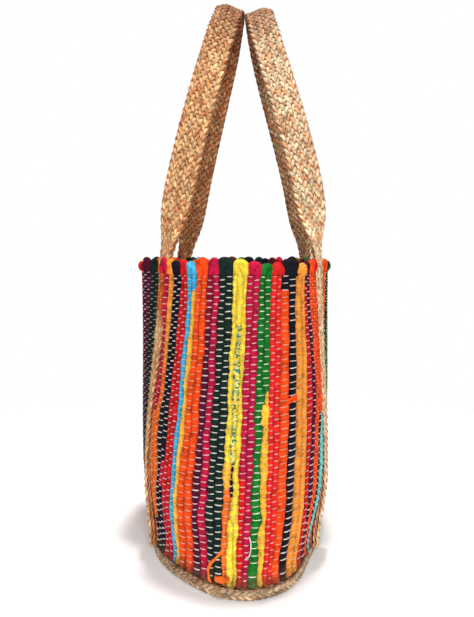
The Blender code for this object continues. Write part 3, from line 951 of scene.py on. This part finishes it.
def make_loops(material):
    """At the rim each rag turns over in a plump loop that spans its columns."""
    chance = np.random.default_rng(31)
    edges = column_edges(all_columns(), np.array([BODY_TOP]))[0]
    piece = Piece()
    first = 0
    for index, (loop_colour, members) in enumerate(all_rags()):
        start, end = edges[first], edges[first + len(members)]
        first += len(members)
        width = (end - start) * rim_round() * chance.uniform(*LOOP_WIDTHS)
        colour = linear(RAGS[loop_colour])[None] * chance.uniform(0.85, 1.08)
        rise = chance.uniform(*LOOP_RISES) - FAR_RIM_DROP
        if index < len(NEAR_RISES):
            rise = MM * NEAR_RISES[index]
        add_loop(piece, 0.5 * (start + end), width, rise, colour, chance)
    for colour, width, thickness, rows in LOOSE_RAGS:
        add_loose_rag(piece, rows, width, thickness, RAGS[colour], chance)
    return piece.make("rag_ends", material)


def add_loose_rag(piece, rows, width, thickness, colour, chance):
    """A rag or thread that lies loose on the near end, along rows of LOOSE_RAGS."""
    rows = np.array(rows, dtype=float)
    place = np.linspace(0.0, len(rows) - 1.0, 6 * len(rows))
    low = np.minimum(place.astype(int), len(rows) - 2)
    part = smooth_share(place - low)[:, None]
    part = 0.5 * part + 0.5 * (place - low)[:, None]
    rows = rows[low] * (1.0 - part) + rows[low + 1] * part
    share = NEAR_START + MM * rows[:, 0] / rim_round()
    centres, outward = lifted(on_cloth, share[None], rows[None, :, 1], rows[None, :, 2])
    side = unit(np.cross(unit(np.gradient(centres, axis=1)), outward))
    run = np.linspace(0.0, 1.0, len(rows))
    swell = 0.55 + 0.45 * np.sin(math.pi * run) ** 0.5 + 0.12 * np.sin(17.0 * run)
    swell = (swell + chance.normal(0.0, 0.04, len(rows)))[None, :, None]
    add_tubes(piece, centres, 0.5 * width * side * swell, 0.5 * thickness * outward * swell,
              LOOSE_SIDES, linear(colour)[None], chance)


def add_loop(piece, centre, width, rise, colour, chance):
    """One loop: up one column, over and down the other, with legs so plump that they meet."""
    reach, plump = LOOP_REACH * width, LOOP_LEG * width
    springing = BODY_TOP + rise - LOOP_ROUND * width
    lean = chance.normal(0.0, LOOP_LEAN)
    turn = np.linspace(math.pi, 0.0, 11)
    low = np.array([LOOP_FOOT, 0.5 * (LOOP_FOOT + springing)])
    across = np.concatenate([[-reach, -reach], reach * np.cos(turn), [reach, reach]])
    up = np.concatenate([low, springing + 0.75 * reach * np.sin(turn), low[::-1]])
    share = centre + (across + lean * (up - LOOP_FOOT) / LEAN_HEIGHT) / rim_round()
    arched = np.sin(np.linspace(0.0, math.pi, len(up)))
    out = -0.4 * WALL + 0.0016 * arched + chance.normal(0.0, 0.0005)
    centres, outward = lifted(on_cloth, share[None], up[None], out[None])
    ahead = unit(np.gradient(centres[0], axis=0))[None]
    side = unit(np.cross(ahead, outward))
    creases = 0.08 * np.sin(np.linspace(0.0, 11.0, len(up)) + chance.uniform(0.0, 6.0))
    swell = (1.0 + 0.26 * arched + creases)[None, :, None]
    add_tubes(piece, centres, side * plump * swell, outward * 0.5 * LOOP_THICKNESS * swell,
              LOOP_SIDES, colour, chance)


# The handles

def strap_lift():
    """How far the strap's middle lies outside the body's outline."""
    return COLUMN_RELIEF + SEAT_GAP + STRAP_RELIEF + 0.5 * STRAP_THICKNESS


def face_point(side, y, height):
    """A point of the long face, which runs straight down below the tuck."""
    level = np.maximum(height, body_foot() + TUCK_HEIGHT)
    return np.stack(np.broadcast_arrays(outline_x(side, y, level), y, height), axis=-1)


def on_face(side, y, height):
    """A point of the strap's middle surface where it lies on the body."""
    here = face_point(side, y, height)
    along = unit(face_point(side, y - TANGENT_STEP, height) - here)
    slope = (face_point(side, y, height - TANGENT_STEP)[..., 0] - here[..., 0]) / TANGENT_STEP
    lift = side * strap_lift() * np.hypot(1.0, slope)
    normal = np.stack([-along[..., 1], along[..., 0], 0.0 * lift], axis=-1)
    return here + lift[..., None] * normal


def arch_values(side):
    """The arch's rise, the place of its highest point and its leans at the rim and there."""
    if side < 0:
        return LEFT_ARCH_RISE, LEFT_APEX, LEFT_RIM_LEAN, LEFT_APEX_LEAN
    right_apex = LEFT_APEX + STRAP_WIDTH + 2.0 * STRAP_RELIEF + HANDLE_GAP
    return RIGHT_ARCH_RISE, right_apex, RIGHT_RIM_LEAN, RIGHT_APEX_LEAN


def arch_points(side, turn):
    """Points of the handle's arch above the rim, from the rim at 0 to the top at a quarter turn."""
    rim = on_face(side, np.array(-STRAP_OFFSET), np.array(BODY_TOP))
    rise, apex, rim_lean, apex_lean = arch_values(side)
    share = np.sin(turn)
    squared, cubed = share ** 2, share ** 3
    x = (2.0 * cubed - 3.0 * squared + 1.0) * rim[0] + (3.0 * squared - 2.0 * cubed) * apex
    x = x - side * (cubed - 2.0 * squared + share) * rim_lean * rise
    x = x - side * (cubed - squared) * apex_lean * rise
    x = x + side * HANDLE_BOW[side > 0] * np.sin(math.pi * share ** 0.8) ** 2
    x = x - side * TOP_CLOSING * smooth_share((share - CLOSING_START) / (1.0 - CLOSING_START))
    return np.stack([x, rim[1] * np.cos(turn), BODY_TOP + rise * share], axis=-1)


def strap_line(side):
    """The strap's middle line from its near foot to the top of the arch, in even steps."""
    heights = np.linspace(body_foot(), BODY_TOP, FACE_SAMPLES, endpoint=False)
    face = on_face(side, np.full(FACE_SAMPLES, -STRAP_OFFSET), heights)
    line = np.concatenate([face, arch_points(side, np.linspace(0.0, 0.5 * math.pi, ARCH_SAMPLES))])
    lengths = np.concatenate([[0.0], np.cumsum(np.linalg.norm(np.diff(line, axis=0), axis=1))])
    steps = np.linspace(0.0, lengths[-1], STRAP_SAMPLES)
    return steps, np.stack([np.interp(steps, lengths, line[:, axis]) for axis in range(3)], axis=1)


def strap_twist(height):
    """How far the strap has turned above the rim. It starts to turn where it leaves the cloth."""
    share = np.clip((height - BODY_TOP) / TWIST_HEIGHT, 0.0, 1.0)
    return blend(smooth_share(share), 1.0 - (1.0 - share) ** 2, TWIST_HASTE)


def strap_axes(side, line, forwards):
    """Across and outward directions: flat on the face, and turned a quarter above the rim."""
    inwards = np.array([-side, 0.0, -arch_values(side)[3]])
    inwards = unit(inwards - forwards * (forwards @ inwards)[:, None])
    to_nose = np.cross(inwards, forwards) * -side
    level = np.minimum(line[:, 2], BODY_TOP)
    offset = np.full(len(line), -STRAP_OFFSET)
    along = unit(face_point(side, offset - TANGENT_STEP, level) - face_point(side, offset, level))
    flat = np.arctan2((along * inwards).sum(1), (along * to_nose).sum(1))
    twist = strap_twist(line[:, 2])
    turn = blend(flat, 0.5 * math.pi, twist)[:, None]
    across = to_nose * np.cos(turn) + inwards * np.sin(turn)
    return across, np.cross(across, forwards) * -side


def strap_bends(side, line, across, outward, places):
    """How far the body's curve lifts the strap off its own flat plane, place by place."""
    level = np.minimum(line[:, 2], BODY_TOP)[:, None]
    middle = on_face(side, np.full(level.shape, -STRAP_OFFSET), level)
    aside = on_face(side, -STRAP_OFFSET + places[None] * across[:, 1:2], level)
    fade = 1.0 - smooth_share((line[:, 2] - BODY_TOP) / TWIST_HEIGHT)
    return ((aside - middle) * outward[:, None]).sum(-1) * fade[:, None]


class StrapSurface:
    """The middle surface of one handle, from its near foot over the arch to its far foot."""

    def __init__(self, side):
        self.steps, self.line = strap_line(side)
        forwards = unit(np.gradient(self.line, axis=0))
        forwards[-1] = (0.0, 1.0, 0.0)
        self.across, self.outward = strap_axes(side, self.line, forwards)
        self.places = np.linspace(-BEND_REACH, BEND_REACH, BEND_SAMPLES) * STRAP_WIDTH
        self.bends = strap_bends(side, self.line, self.across, self.outward, self.places)
        high = smooth_share((self.line[:, 2] - TOP_DROOP_START) / (self.line[-1, 2] - TOP_DROOP_START))
        share = smooth_share(self.places / STRAP_WIDTH + 0.5)
        rounding = smooth_share((-self.places / STRAP_WIDTH - ROUNDING_START) / (0.5 - ROUNDING_START))
        droop = TOP_DROOP * share + TOP_ROUNDING * rounding
        self.bends = self.bends - high[:, None] * droop[None]
        self.length = 2.0 * self.steps[-1]

    def point(self, along, across, lift):
        """Points at a length along the strap, a place across it and a height off its middle."""
        far = along > 0.5 * self.length
        here = np.where(far, self.length - along, along)
        low, part = steps_below(here / self.steps[1], STRAP_SAMPLES)
        part = part[..., None]

        def between(table):
            return table[low] * (1.0 - part) + table[low + 1] * part

        width = self.places[1] - self.places[0]
        left, side_part = steps_below((across - self.places[0]) / width, BEND_SAMPLES)
        bends = between(self.bends)
        bend = (np.take_along_axis(bends, left[..., None], -1)[..., 0] * (1.0 - side_part)
                + np.take_along_axis(bends, left[..., None] + 1, -1)[..., 0] * side_part)
        outward = between(self.outward)
        place = between(self.line) + between(self.across) * across[..., None]
        place = place + outward * (lift + bend)[..., None]
        place[..., 1] = np.where(far, -place[..., 1], place[..., 1])
        return place


def plait(strands, knot, length, width, thickness, slack, closed=False):
    """The strands of a flat plait: places along, across and above its middle, strand by strand.

    Each strand crosses from edge to edge and back, over two and under two, so that the strands show
    as rows of leaves that lean to either side by turns. Slack lets a strand run more along the plait
    where it crosses another.
    """
    period = 2 * strands
    knots = length / knot
    if closed:
        knots = period * round(knots / period)
        knot = length / knots
    stations = np.arange(0.0, knots + (0.0 if closed else 1e-6), 1.0 / STATIONS_PER_KNOT)
    if closed:
        stations = stations[:round(STATIONS_PER_KNOT * knots)]
    across, above = [], []
    places = np.concatenate([np.arange(strands + 1), np.arange(strands - 1, 0, -1)]) / strands - 0.5
    over = [1.0 if (column - 1) // 2 % 2 else -1.0 for column in range(1, strands)]
    sign = np.array([0.0] + over + [0.0] + [-side for side in over[::-1]])
    for strand in range(strands):
        phase = stations + 2.0 * strand
        low = np.floor(phase).astype(int) % period
        high = (low + 1) % period
        part = phase - np.floor(phase)
        eased = part + slack * (smooth_share(part) - part)
        place = blend(places[low], places[high], eased) * (1.0 + 2.0 * EDGE_TURN / strands)
        across.append(width * np.clip(place, -0.5, 0.5))
        above.append(0.5 * thickness * blend(sign[low], sign[high], smooth_share(part)))
    return stations * knot, np.array(across), np.array(above)


def add_plait(piece, point, along, across, above, size, sides, colours, chance, closed=False):
    """Lay the strands of a plait on a surface as flat tubes."""
    strands = len(across)
    along = np.repeat(along[None], strands, axis=0)
    ripple = chance.normal(0.0, 0.04, across.shape) * size[0]
    layer = above / np.abs(above).max()
    centres = point(along, across + ripple, above)
    outward = lifted(point, along, across, above)[1]
    if closed:
        ahead = np.roll(centres, -1, axis=1) - np.roll(centres, 1, axis=1)
    else:
        ahead = np.gradient(centres, axis=1)
    side = unit(np.cross(unit(ahead), outward))
    swell = (blend(0.80, 1.06, np.abs(layer)) + chance.normal(0.0, 0.05, across.shape))[..., None]
    # Painted shade: a strand is darker where it runs under others
    under = linear(UNDER_PAINTED_SHADE)[None, None]
    colours = colours * blend(under, 1.0, smooth_share(1.6 * np.abs(layer))[..., None])
    add_tubes(piece, centres, side * 0.5 * size[0] * swell, outward * 0.5 * size[1] * swell, sides,
              colours, chance, closed)


def jute_shades(shape, light, dark, run, chance):
    """Strand colours that change slowly along each strand, with a new draw every few points."""
    coarse = chance.uniform(0.0, 1.0, (shape[0], shape[1] // run + 2))
    place = np.arange(shape[1]) / run
    share = np.stack([np.interp(place, np.arange(coarse.shape[1]), row) for row in coarse])
    return blend(linear(dark)[None, None], linear(light)[None, None], share[..., None])


def make_strap(name, side, material):
    chance = np.random.default_rng(40 + side)
    surface = StrapSurface(side)
    width = STRAP_WIDTH - STRAP_STRAND_WIDTH + STRAP_PLAIT_SPREAD * STRAP_RELIEF
    along, across, above = plait(STRAP_STRANDS, STRAP_KNOT, surface.length, width,
                                 STRAP_THICKNESS - STRAP_STRAND_THICKNESS + STRAP_RELIEF,
                                 STRAP_SLACK)
    # Each side has its own colours; the right strap's lighter ones are painted light
    colours = jute_shades(across.shape, *STRAP_SHADES[side > 0], run=4, chance=chance)
    # The jute is darker towards the handles' tops
    heights = surface.point(along, 0.0 * along, 0.0 * along)[:, 2]
    toward_top = smooth_share((heights - TOP_TINT_START) / (TOP_TINT_END - TOP_TINT_START))
    colours = colours * blend(1.0, linear(TOP_TINT)[None], toward_top[:, None])[None]
    # Painted shade on the inside faces of the handles, which the far legs show
    inner = smooth_share(0.5 - INNER_SHADE_SHARPNESS * above)[..., None]
    colours = colours * blend(1.0, linear(INNER_PAINTED_SHADE)[None, None], inner)
    piece = Piece()
    add_plait(piece, surface.point, along, across, above,
              (STRAP_STRAND_WIDTH, STRAP_STRAND_THICKNESS), STRAP_STRAND_SIDES, colours, chance)
    add_core(piece, surface)
    add_stitches(piece, surface, chance)
    add_fuzz(piece, surface, chance)
    return piece.make(name, material)


def add_stitches(piece, surface, chance):
    """Jute thread that sews the strap's edges to the cloth, from the foot to the rim."""
    end = np.interp(BODY_TOP - STITCH_TO_RIM, surface.line[:, 2], surface.steps)
    starts = np.arange(STITCH_TO_FOOT, end, STITCH_STEP)
    starts = np.concatenate([starts, surface.length - starts - STITCH_LENGTH])
    run = np.linspace(0.0, 1.0, 5)
    for edge in (-1.0, 1.0):
        along = starts[:, None] + STITCH_LENGTH * run + chance.normal(0.0, 0.0003, (len(starts), 1))
        across = edge * (0.5 * STRAP_WIDTH - STITCH_INSET) + chance.normal(0.0, 0.0002, along.shape)
        lift = 0.5 * STRAP_THICKNESS + STITCH_LIFT + STITCH_RISE * np.sin(math.pi * run)
        lift = np.broadcast_to(lift - STITCH_DIP * (np.abs(run - 0.5) > 0.4), along.shape)
        add_thread(piece, surface.point, along, across, lift, STITCH_WIDTH, STITCH_JUTE, chance)


def add_fuzz(piece, surface, chance):
    """Stray fibres that stand off the plait."""
    each = (STRAY_FIBRES, 1)
    run = np.linspace(0.0, 1.0, 5)
    starts = chance.uniform(0.01, surface.length - 0.03, each)
    along = starts + chance.uniform(0.006, 0.014, each) * run
    place = chance.uniform(-0.5, 0.5, each) * STRAP_WIDTH
    across = place * (1.0 + 0.10 * run) + chance.uniform(-0.004, 0.004, each) * run
    lift = 0.5 * STRAP_THICKNESS + chance.uniform(0.0002, 0.0016, each) * np.sin(math.pi * run)
    add_thread(piece, surface.point, along, across, lift, FIBRE_WIDTH, FIBRE_JUTE, chance)


def add_thread(piece, point, along, across, lift, width, colour, chance):
    """Thin threads laid on a surface."""
    centres, outward = lifted(point, along, across, lift)
    ahead = unit(np.gradient(centres, axis=1))
    side = unit(np.cross(ahead, outward))
    shade = linear(colour)[None] * chance.uniform(0.8, 1.15, (len(along), 1))
    add_tubes(piece, centres, side * 0.5 * width, np.cross(side, ahead) * 0.5 * width,
              THREAD_SIDES, shade, chance)


def add_core(piece, surface):
    """A thin core inside the plait that shows between the strands; its dark brown is painted shade in
    the gaps.
    """
    end = surface.length - STRAP_CORE_INSET
    along = np.linspace(STRAP_CORE_INSET, end, STRAP_CORE_SAMPLES)[:, None]
    half_width, half_thickness = 0.5 * STRAP_CORE_SHARE * STRAP_WIDTH, 0.5 * STRAP_CORE_THICKNESS
    across = half_width * np.array([-1.0, -0.4, 0.4, 1.0, 1.0, 0.4, -0.4, -1.0])
    lift = half_thickness * np.array([1.0, 1.0, 1.0, 1.0, -1.0, -1.0, -1.0, -1.0])
    shape = (len(along), len(across))
    points = surface.point(*(np.broadcast_to(part, shape) for part in (along, across, lift)))
    faces = grid_faces(*shape)
    corner = points.reshape(-1, 3)[faces[0]]
    normal = np.cross(corner[1] - corner[0], corner[2] - corner[0])
    flipped = normal @ (corner[0] - points.mean(axis=1)[0]) < 0.0
    places = grid_places(np.linspace(0.0, 0.05, shape[1] + 1), along.ravel())
    colours = np.broadcast_to(linear(CORE_SHADE_BROWN), (len(faces), 4, 3))
    piece.add(points, faces[:, ::-1] if flipped else faces, places, colours)
    add_caps(piece, points, np.repeat(colours[0, :1], 2, axis=0), flipped, (0.0, 0.0))


# The mat

def mat_surface(inset, on_edge=False):
    """A turn of the mat's plait, flat or on edge: its length and a function that gives its points."""
    length = ellipse_round(MAT_HALF_DEPTH - inset, MAT_HALF_LENGTH - inset)

    def outline(angle):
        y = (MAT_HALF_LENGTH - inset) * np.sin(angle)
        x = (MAT_HALF_DEPTH - inset) * np.cos(angle) + near_end_shift(y, MAT_HALF_LENGTH)
        return np.stack([x, y, 0.0 * x], axis=-1)

    def point(along, across, above):
        angle = ellipse_angle(MAT_HALF_DEPTH - inset, MAT_HALF_LENGTH - inset, along / length)
        here = outline(angle)
        ahead = unit(outline(angle + TANGENT_STEP) - here)
        out = np.stack([ahead[..., 1], -ahead[..., 0], 0.0 * ahead[..., 0]], axis=-1)
        place = here + out * (above if on_edge else across)[..., None]
        place[..., 2] = 0.5 * MAT_THICKNESS + (across if on_edge else above)
        return place

    return length, point


def add_mat_plait(piece, point, length, width, chance, closed=True):
    """A turn of the mat's plait, laid flat."""
    along, across, above = plait(MAT_STRANDS, MAT_KNOT, length, width - MAT_STRAND_WIDTH,
                                 MAT_THICKNESS - MAT_STRAND_THICKNESS - MAT_CLEARANCE, MAT_SLACK,
                                 closed)
    colours = jute_shades(across.shape, *MAT_SHADES, run=6, chance=chance)
    add_plait(piece, point, along, across, above, (MAT_STRAND_WIDTH, MAT_STRAND_THICKNESS),
              MAT_STRAND_SIDES, colours, chance, closed)


def make_mat(material):
    """The mat: a plait on edge round its rim, and flat turns of plait inside it."""
    chance = np.random.default_rng(57)
    piece = Piece()
    length, point = mat_surface(0.5 * EDGE_THICKNESS, on_edge=True)
    along, across, above = plait(EDGE_STRANDS, EDGE_KNOT, length, MAT_THICKNESS - EDGE_STRAND_WIDTH,
                                 EDGE_THICKNESS - EDGE_STRAND_THICKNESS, MAT_SLACK, closed=True)
    colours = jute_shades(across.shape, *EDGE_SHADES, run=5, chance=chance)
    add_plait(piece, point, along, across, above, (EDGE_STRAND_WIDTH, EDGE_STRAND_THICKNESS),
              MAT_STRAND_SIDES, colours, chance, closed=True)
    inset = EDGE_THICKNESS + 0.5 * MAT_PLAIT_WIDTH - TURN_OVERLAP
    while inset + 0.3 * MAT_PLAIT_WIDTH < MAT_HALF_DEPTH:
        length, point = mat_surface(inset)
        add_mat_plait(piece, point, length, MAT_PLAIT_WIDTH, chance)
        inset += MAT_PLAIT_WIDTH - TURN_OVERLAP
    add_middle_plait(piece, inset - 0.5 * MAT_PLAIT_WIDTH + TURN_OVERLAP, chance)
    add_tuft(piece, chance)
    return piece.make("jute_mat", material)


def add_middle_plait(piece, inset, chance):
    """The mat's first length of plait, which lies straight along its middle."""
    half_width, half_length = MAT_HALF_DEPTH - inset + TURN_OVERLAP, MAT_HALF_LENGTH - inset

    def point(along, across, above):
        y = along - half_length
        narrow = np.sqrt(np.clip(1.0 - (y / (half_length + 0.004)) ** 2, 0.04, 1.0))
        x = across * narrow + near_end_shift(y, MAT_HALF_LENGTH)
        return np.stack([x, y, 0.5 * MAT_THICKNESS + above], axis=-1)

    add_mat_plait(piece, point, 2.0 * half_length, 2.0 * half_width, chance, closed=False)


def add_tuft(piece, chance):
    """Loose jute fibres at the mat's edge, left of the near end."""
    length, point = mat_surface(0.5 * EDGE_THICKNESS, on_edge=True)
    each = (TUFT_FIBRES, 1)
    run = np.linspace(0.0, 1.0, 6)
    along = 0.75 * length - TUFT_PLACE + chance.normal(0.0, 0.0018, each)
    along = along + chance.normal(0.0, 0.0035, each) * run ** 1.5
    across = 0.0035 - run * chance.uniform(0.004, 0.0092, each)
    above = 0.5 * EDGE_THICKNESS + chance.uniform(0.0003, 0.0042, each) * np.sin(2.4 * run)
    add_thread(piece, point, along, across, above, TUFT_WIDTH, TUFT_JUTE, chance)


# The studio

def make_floor():
    bpy.ops.object.select_all(action="DESELECT")
    bpy.ops.mesh.primitive_circle_add(vertices=128, radius=FLOOR_RADIUS, fill_type="NGON",
                                      location=(0.0, 0.0, -FLOOR_DROP))
    floor = bpy.context.object
    floor.name = "studio_floor"
    finish = Finish("floor_paper")
    floor.data.materials.append(finish.finished(Base_Color=(0.96, 0.96, 0.96, 1.0), Roughness=0.9,
                                                Specular_IOR_Level=0.1, Emission_Color=WHITE,
                                                Emission_Strength=FLOOR_GLOW))


def make_light(name, place, target, size, power):
    data = bpy.data.lights.new(name, "AREA")
    data.shape = "DISK"
    data.size = size
    data.energy = power
    lamp = bpy.data.objects.new(name, data)
    turn = (Vector(target) - Vector(place)).to_track_quat("-Z", "Y")
    lamp.matrix_world = Matrix.Translation(place) @ turn.to_matrix().to_4x4()
    bpy.context.collection.objects.link(lamp)


def make_studio():
    make_floor()
    make_light("top_light", *TOP_LIGHT)
    make_light("key_light", *KEY_LIGHT)
    world = bpy.data.worlds.new("pale_room")
    world.use_nodes = True
    nodes, links = world.node_tree.nodes, world.node_tree.links
    background = nodes["Background"]
    background.inputs["Color"].default_value = WHITE
    seen = nodes.new("ShaderNodeLightPath")
    strength = nodes.new("ShaderNodeMapRange")
    strength.inputs["To Min"].default_value = ROOM_LIGHT
    strength.inputs["To Max"].default_value = 1.0
    links.new(seen.outputs["Is Camera Ray"], strength.inputs["Value"])
    links.new(strength.outputs["Result"], background.inputs["Strength"])
    bpy.context.scene.world = world
    bpy.context.scene.view_settings.view_transform = "Standard"


def make_camera():
    data = bpy.data.cameras.new("camera")
    data.lens = CAMERA_LENS
    camera = bpy.data.objects.new("camera", data)
    right, up = Vector(CAMERA_RIGHT), Vector(CAMERA_UP)
    turn = Matrix((right, up, right.cross(up))).transposed()
    camera.matrix_world = Matrix.Translation(CAMERA_PLACE) @ turn.to_4x4()
    bpy.context.collection.objects.link(camera)
    bpy.context.scene.camera = camera


def main():
    make_camera()
    make_studio()
    rag, warp = rag_finish(), warp_finish()
    jute, mat_jute = jute_finish("jute_plait"), jute_finish("jute_mat_plait")
    cloth = make_cloth(rag)
    pieces = [
        (cloth, "rag_weave", "woven_body"),
        (make_loops(rag), "rag_weave", None),
        (make_floats("warp_floats", warp, 0), "rag_weave", None),
        (make_floats("warp_floats_inside", warp, 1), "rag_weave", None),
        (make_mat(mat_jute), "jute_mat", "jute_base"),
        (make_strap("left_plait", -1, jute), "jute_braid", "left_handle_strap"),
        (make_strap("right_plait", 1, jute), "jute_braid", "right_handle_strap"),
    ]
    for piece, slot, node in pieces:
        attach(piece, "root")
        if node:
            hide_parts(node)


main()
